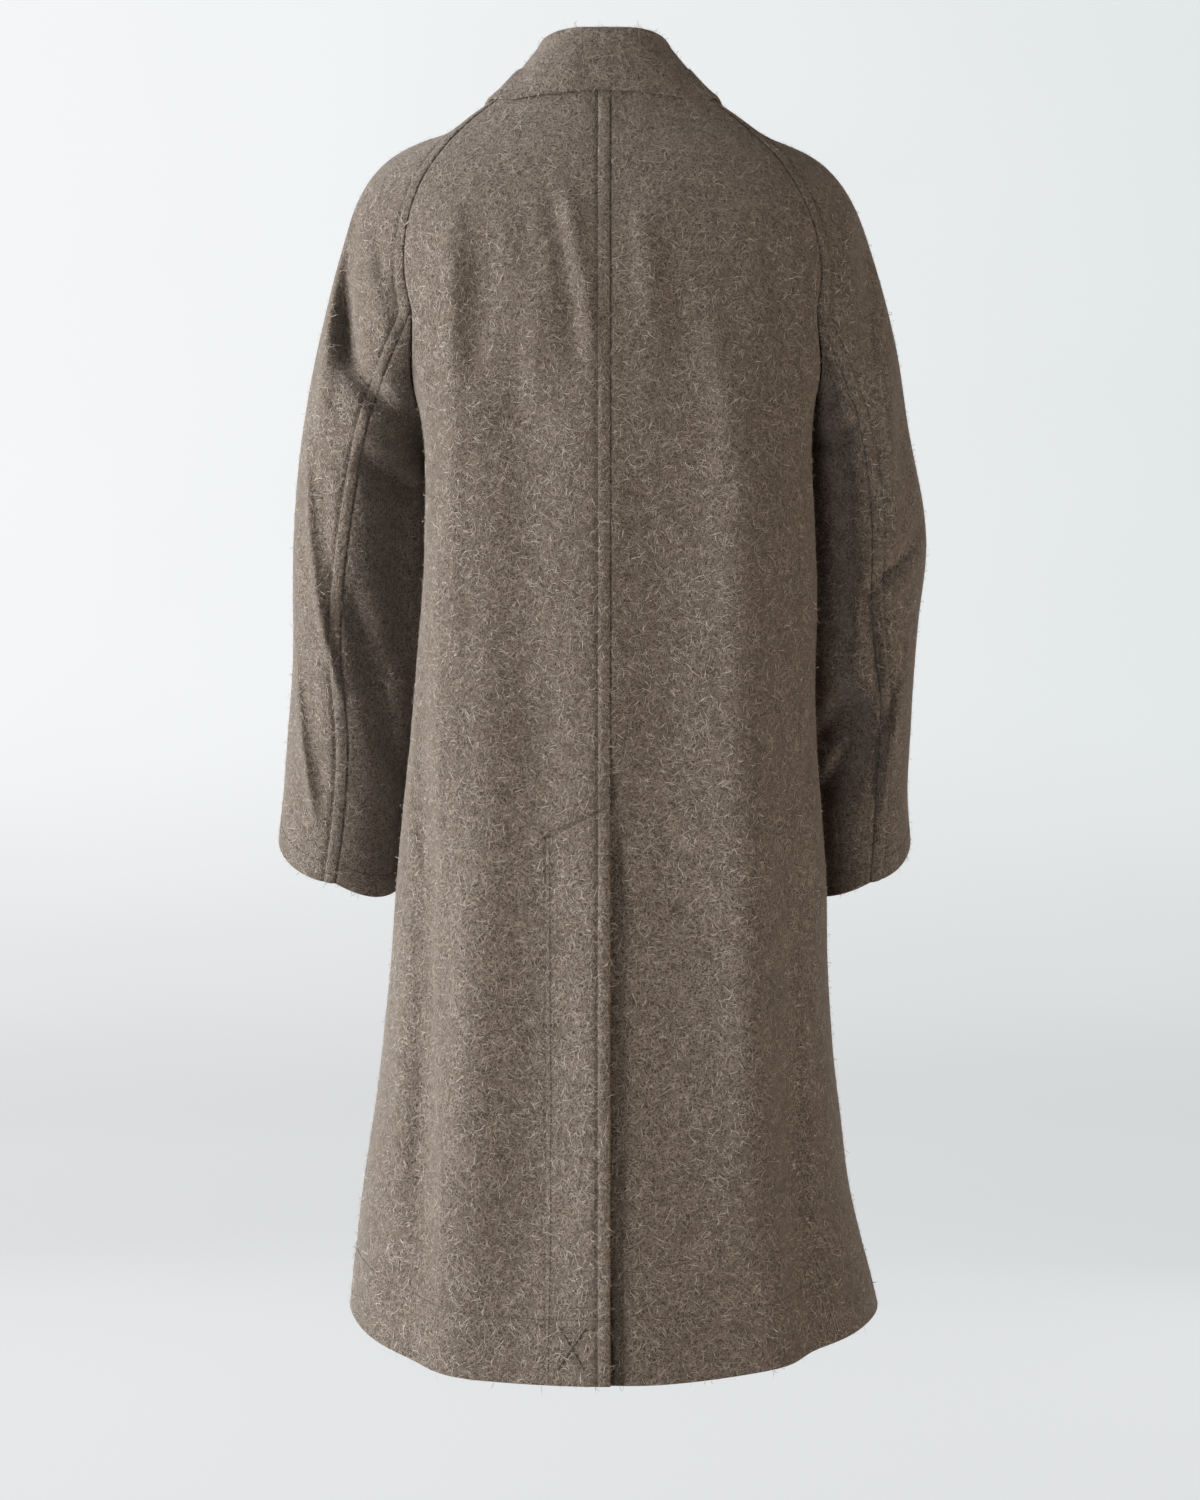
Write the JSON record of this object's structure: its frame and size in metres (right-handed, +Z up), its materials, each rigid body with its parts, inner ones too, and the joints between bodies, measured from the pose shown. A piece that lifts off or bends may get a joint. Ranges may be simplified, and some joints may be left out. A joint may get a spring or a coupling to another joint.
{
  "type": "double-breasted overcoat",
  "caption": "Long double-breasted wool overcoat in its worn form, hollow, with raglan sleeves, a broad fall collar, notched lapels and a centre-back vent.",
  "frame": {"origin": "base of the neck, in the middle of the neck opening and level with the tops of the shoulders, where the wearer carries the coat", "axes": "+Z up, -Y towards the front of the coat, +X towards the wearer's left"},
  "size_m": [0.5726, 0.4205, 1.1507],
  "materials": {
    "wool": "brushed mid-brown mixture coating with a long pale nap",
    "horn": "dark polished horn"
  },
  "bodies": {
    "root": {"back_left": "wool", "back_right": "wool", "front_left": "wool", "front_right": "wool", "top_sleeve_left": "wool", "top_sleeve_right": "wool", "under_sleeve_left": "wool", "under_sleeve_right": "wool", "lapel_left": "wool", "lapel_right": "wool", "collar": "wool", "button_left_1": "horn", "button_left_2": "horn", "button_left_3": "horn", "button_right_1": "horn", "button_right_2": "horn", "button_right_3": "horn"}
  },
  "joints": []
}
